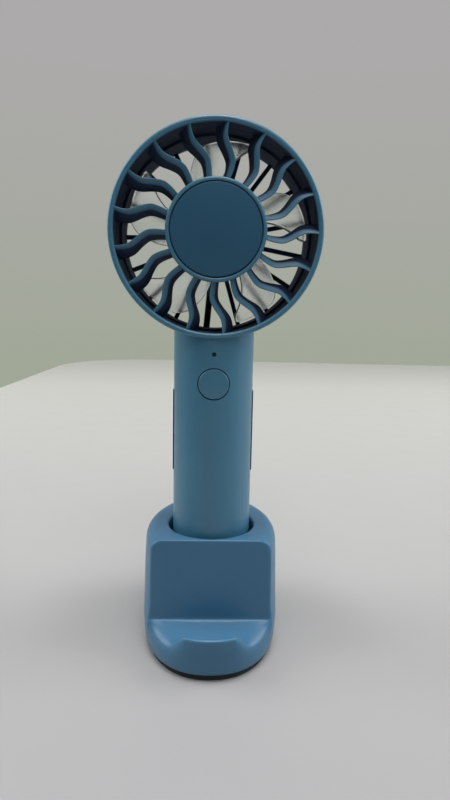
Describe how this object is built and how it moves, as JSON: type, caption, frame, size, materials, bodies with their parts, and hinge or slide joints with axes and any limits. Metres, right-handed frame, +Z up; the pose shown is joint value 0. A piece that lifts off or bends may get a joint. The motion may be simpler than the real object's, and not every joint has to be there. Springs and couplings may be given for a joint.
{
  "type": "handheld fan with desk dock",
  "caption": "Cordless handheld fan with a wavy front grille and a clear impeller, standing in a desk dock whose front is a sloping phone rest with a shelf and a lip.",
  "frame": {"origin": "where the handle's axis meets the surface that the dock stands on, at the underside of the foot pad", "axes": "+Z up along the handle, -Y towards the phone rest and the way the fan blows, +X to the right of someone who faces the front"},
  "size_m": [0.088, 0.0902, 0.227],
  "materials": {
    "housing_plastic": "satin",
    "cap_plastic": "satin",
    "strip_plastic": "satin",
    "dark_plastic": "matt",
    "impeller_plastic": "glossy",
    "lens_plastic": "glossy",
    "foot_rubber": "matt",
    "screw_steel": "satin",
    "magnet": "matt",
    "copper": "enamelled",
    "bearing_brass": "satin",
    "circuit_board": "solder mask",
    "cell_can": "shrink sleeve",
    "wire_sleeve": "smooth"
  },
  "bodies": {
    "dock": {"dock_body": "housing_plastic", "dock_base_plate": "dark_plastic", "dock_screws": "screw_steel", "dock_foot_pad": "foot_rubber"},
    "fan": {"front_shell": "housing_plastic", "rear_shell": "housing_plastic", "bottom_cap": "housing_plastic", "front_grille": "housing_plastic", "rear_grille": "housing_plastic", "grille_cap": "cap_plastic", "grip_strip_left": "strip_plastic", "grip_strip_right": "strip_plastic", "case_screws": "screw_steel", "led_lens": "lens_plastic", "led_chip": "lens_plastic", "motor_stator": "magnet", "motor_windings": "copper", "front_bearing": "bearing_brass", "rear_bearing": "bearing_brass", "motor_board": "circuit_board", "battery_cell": "cell_can", "battery_cradle": "dark_plastic", "control_board": "circuit_board", "tact_switch": "dark_plastic", "charging_board": "circuit_board", "usb_socket": "screw_steel", "battery_wires": "wire_sleeve", "board_wires": "wire_sleeve", "motor_wires": "wire_sleeve"},
    "rotor": {"impeller": "impeller_plastic", "rotor_yoke": "screw_steel", "magnet_ring": "magnet", "motor_shaft": "screw_steel"},
    "button": {"power_button": "cap_plastic", "switch_plunger": "strip_plastic"}
  },
  "joints": [
    {"name": "fan_lift", "type": "slide", "parent": "dock", "child": "fan", "axis": [0, 0, 1], "range_m": [0, 0.046]},
    {"name": "impeller_spin", "type": "hinge", "parent": "fan", "child": "rotor", "pos_m": [0, 0, 0.183], "axis": [0, -1, 0], "continuous": true},
    {"name": "button_press", "type": "slide", "parent": "fan", "child": "button", "axis": [0, 1, 0], "range_m": [0, 0.0005], "stiffness_N_per_m": 2000, "springref_m": -0.0003}
  ]
}
